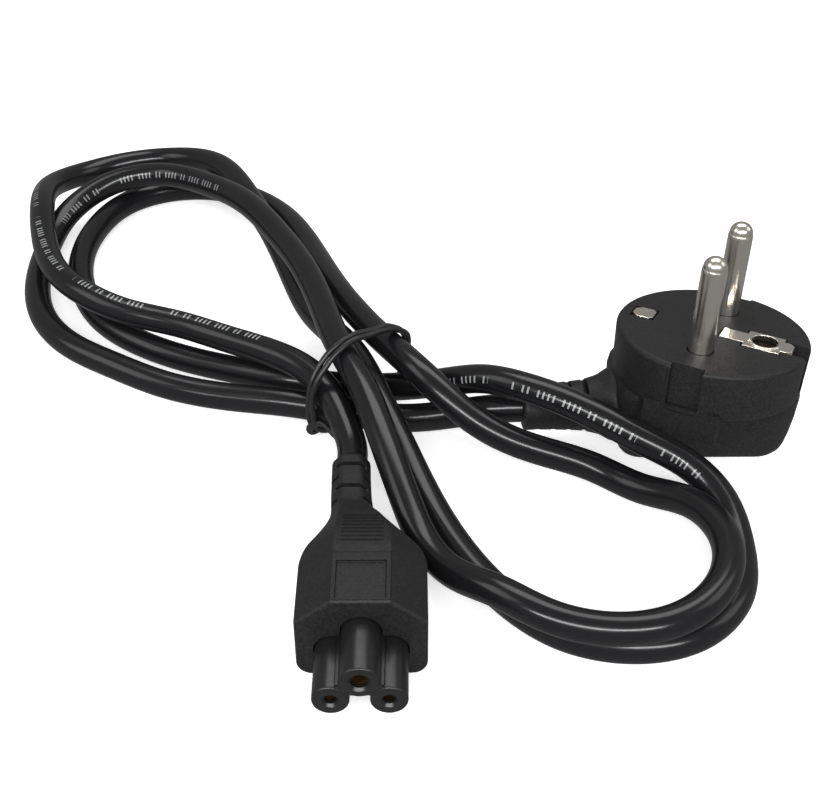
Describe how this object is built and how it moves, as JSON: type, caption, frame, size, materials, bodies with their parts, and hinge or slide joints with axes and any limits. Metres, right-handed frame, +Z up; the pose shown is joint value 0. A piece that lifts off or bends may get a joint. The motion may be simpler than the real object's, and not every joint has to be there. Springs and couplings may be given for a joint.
{
  "type": "power cord",
  "caption": "Mains lead with a moulded cloverleaf connector and a right-angle earthed plug, its cord laid in crossing loops and tied at the waist.",
  "frame": {"origin": "on the floor, at the middle of the box round the connector and the plug, without the cord and its tie", "axes": "+Z up off the floor the cord set lies on; +Y from the connector's mouth towards its cord end, within a few degrees; +X to the right, towards the plug"},
  "size_m": [0.1691, 0.187, 0.0449],
  "materials": {
    "black_vinyl_matte": "moulded vinyl with a fine orange-peel grain",
    "black_hard_plastic": "moulded hard plastic, satin",
    "contact_brass": "bare rolled strip",
    "nickel_plate": "bright nickel plate, slightly warm",
    "socket_bronze": "dull bronze in shade",
    "black_vinyl_gloss": "smooth glossy extruded vinyl sheath",
    "black_coated_wire": "coated tie wire"
  },
  "bodies": {
    "root": {"connector_body": "black_vinyl_matte", "connector_nose": "black_hard_plastic", "left_contact_sleeve": "contact_brass", "right_contact_sleeve": "contact_brass", "earth_contact_sleeve": "contact_brass", "plug_body": "black_vinyl_matte", "near_pin": "nickel_plate", "far_pin": "nickel_plate", "earth_strip": "nickel_plate", "earth_clip": "nickel_plate", "earth_socket": "socket_bronze", "cord": "black_vinyl_gloss", "wire_tie": "black_coated_wire"}
  },
  "joints": []
}
